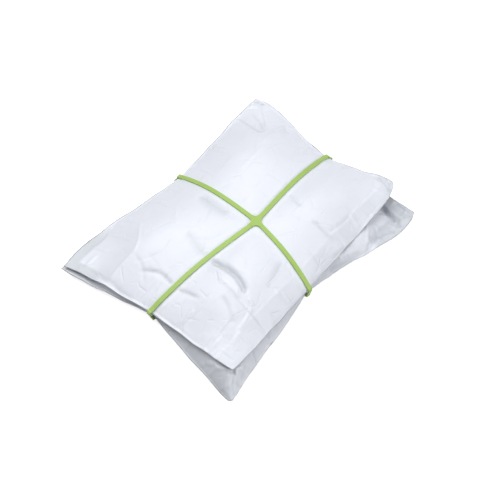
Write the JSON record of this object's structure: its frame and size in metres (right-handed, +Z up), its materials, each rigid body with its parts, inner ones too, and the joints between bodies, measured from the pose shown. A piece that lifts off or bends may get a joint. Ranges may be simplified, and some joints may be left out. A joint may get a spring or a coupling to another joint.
{
  "type": "banded stack of packing bags",
  "caption": "Stacked sealed white film mailing bags with soft loose fill, cinched by one green rubber cross band.",
  "frame": {"origin": "the surface that the lower bag lies on, under the middle of the stack's outline", "axes": "+X along the bags, +Y across them towards the back edge, +Z up out of the ground"},
  "size_m": [0.33, 0.2512, 0.0528],
  "materials": {
    "film": "semi-gloss white polyethylene film",
    "band": "satin yellow-green moulded rubber"
  },
  "bodies": {
    "root": {"lower_bag": "film", "upper_bag": "film", "cross_band": "band"}
  },
  "joints": []
}
